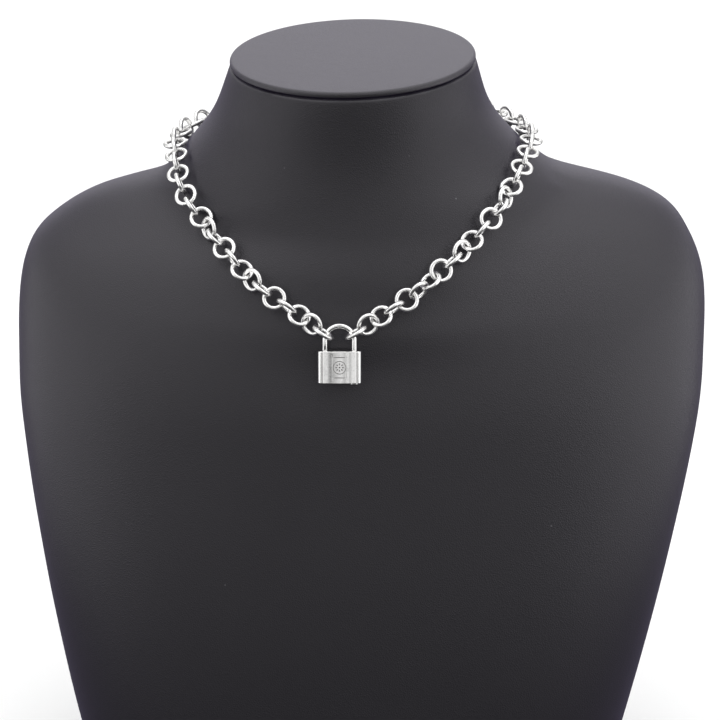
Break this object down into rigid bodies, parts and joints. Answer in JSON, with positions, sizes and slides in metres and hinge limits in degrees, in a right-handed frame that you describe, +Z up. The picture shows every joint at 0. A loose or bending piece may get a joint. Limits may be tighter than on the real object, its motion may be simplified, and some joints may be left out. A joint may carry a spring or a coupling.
{
  "type": "padlock pendant necklace on a neck bust",
  "caption": "Polished padlock pendant that joins the ends of a chain of round links, worn round a plain leatherette display bust.",
  "frame": {"origin": "middle of the whole object's outline seen from above, on the surface that the bust stands on", "axes": "+Z up, -Y out of the chest towards the viewer, +X to the viewer's right"},
  "size_m": [0.267, 0.1637, 0.2974],
  "materials": {
    "bust_cover": "matt dark grey leatherette",
    "cap_cover": "matt dark grey leatherette with a soft sheen",
    "lock_silver": "polished silver",
    "shackle_silver": "polished silver",
    "chain_silver": "polished silver"
  },
  "bodies": {
    "bust": {"bust": "bust_cover", "neck_cap": "cap_cover", "shackle": "shackle_silver", "link_left_1": "chain_silver", "link_left_2": "chain_silver", "link_left_3": "chain_silver", "link_left_4": "chain_silver", "link_left_5": "chain_silver", "link_left_6": "chain_silver", "link_left_7": "chain_silver", "link_left_8": "chain_silver", "link_left_9": "chain_silver", "link_left_10": "chain_silver", "link_left_11": "chain_silver", "link_left_12": "chain_silver", "link_left_13": "chain_silver", "link_left_14": "chain_silver", "link_left_15": "chain_silver", "link_left_16": "chain_silver", "link_left_17": "chain_silver", "link_left_18": "chain_silver", "link_left_19": "chain_silver", "link_left_20": "chain_silver", "link_right_1": "chain_silver", "link_right_2": "chain_silver", "link_right_3": "chain_silver", "link_right_4": "chain_silver", "link_right_5": "chain_silver", "link_right_6": "chain_silver", "link_right_7": "chain_silver", "link_right_8": "chain_silver", "link_right_9": "chain_silver", "link_right_10": "chain_silver", "link_right_11": "chain_silver", "link_right_12": "chain_silver", "link_right_13": "chain_silver", "link_right_14": "chain_silver", "link_right_15": "chain_silver", "link_right_16": "chain_silver", "link_right_17": "chain_silver", "link_right_18": "chain_silver", "link_right_19": "chain_silver", "link_right_20": "chain_silver", "chain_back_1": "chain_silver", "chain_back_2": "chain_silver", "chain_back_3": "chain_silver"},
    "lock_body": {"lock_body": "lock_silver"}
  },
  "joints": [
    {"name": "padlock_open", "type": "slide", "parent": "bust", "child": "lock_body", "axis": [0, -0.2164, -0.9763], "range_m": [0, 0.003]}
  ]
}
